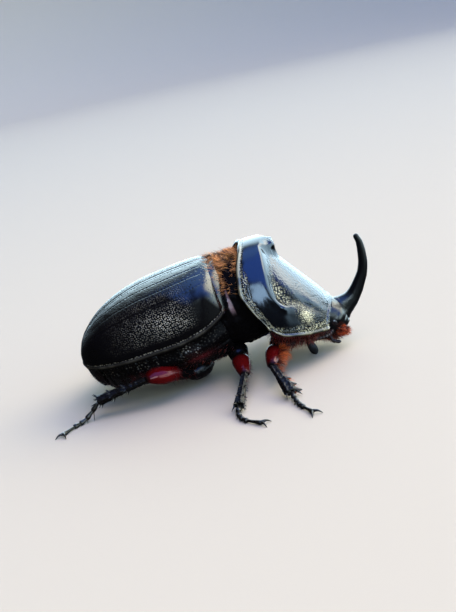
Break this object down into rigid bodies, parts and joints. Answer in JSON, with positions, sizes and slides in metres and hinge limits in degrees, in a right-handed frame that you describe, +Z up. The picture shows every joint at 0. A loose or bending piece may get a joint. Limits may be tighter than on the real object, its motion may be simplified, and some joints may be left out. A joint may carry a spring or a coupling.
{
  "type": "rhinoceros beetle",
  "caption": "Standing male rhinoceros beetle at life size, with a long back-curved horn, a tall bowed shield and closed wing cases.",
  "frame": {"origin": "on the floor under the middle of the beetle's box", "axes": "+X towards the head, +Y towards the beetle's left side, +Z up from the floor"},
  "size_m": [0.054, 0.0536, 0.0213],
  "materials": {
    "wing_case": "glossy black chitin with fine punctures in rows",
    "shield": "glossy blue-black chitin, wrinkled in the side hollow",
    "horn": "smooth glossy black chitin",
    "underside": "satin dark red-brown chitin with short orange hairs",
    "neck": "brown membrane under orange-brown hair",
    "thigh": "glossy dark red chitin",
    "shin": "glossy black chitin with short bristles",
    "eye": "glossy black",
    "feeler": "satin dark brown chitin"
  },
  "bodies": {
    "root": {"wing_case_left": "wing_case", "wing_case_right": "wing_case", "scutellum": "neck", "neck": "neck", "abdomen": "underside", "tail_plate": "underside", "hind_thorax": "underside", "breast_plate": "underside", "shield": "shield", "head": "shield", "horn": "horn", "eye_left": "eye", "eye_right": "eye", "lower_lip": "underside", "jaw_left": "horn", "jaw_right": "horn", "palp_left": "feeler", "palp_right": "feeler", "feeler_left": "feeler", "feeler_right": "feeler", "club_left": "feeler", "club_right": "feeler", "front_left_hip": "underside", "front_left_thigh": "thigh", "front_left_shin": "shin", "front_left_foot": "shin", "front_right_hip": "underside", "front_right_thigh": "thigh", "front_right_shin": "shin", "front_right_foot": "shin", "mid_left_hip": "underside", "mid_left_thigh": "thigh", "mid_left_shin": "shin", "mid_left_foot": "shin", "mid_right_hip": "underside", "mid_right_thigh": "thigh", "mid_right_shin": "shin", "mid_right_foot": "shin", "hind_left_hip": "underside", "hind_left_thigh": "thigh", "hind_left_shin": "shin", "hind_left_foot": "shin", "hind_right_hip": "underside", "hind_right_thigh": "thigh", "hind_right_shin": "shin", "hind_right_foot": "shin"}
  },
  "joints": []
}
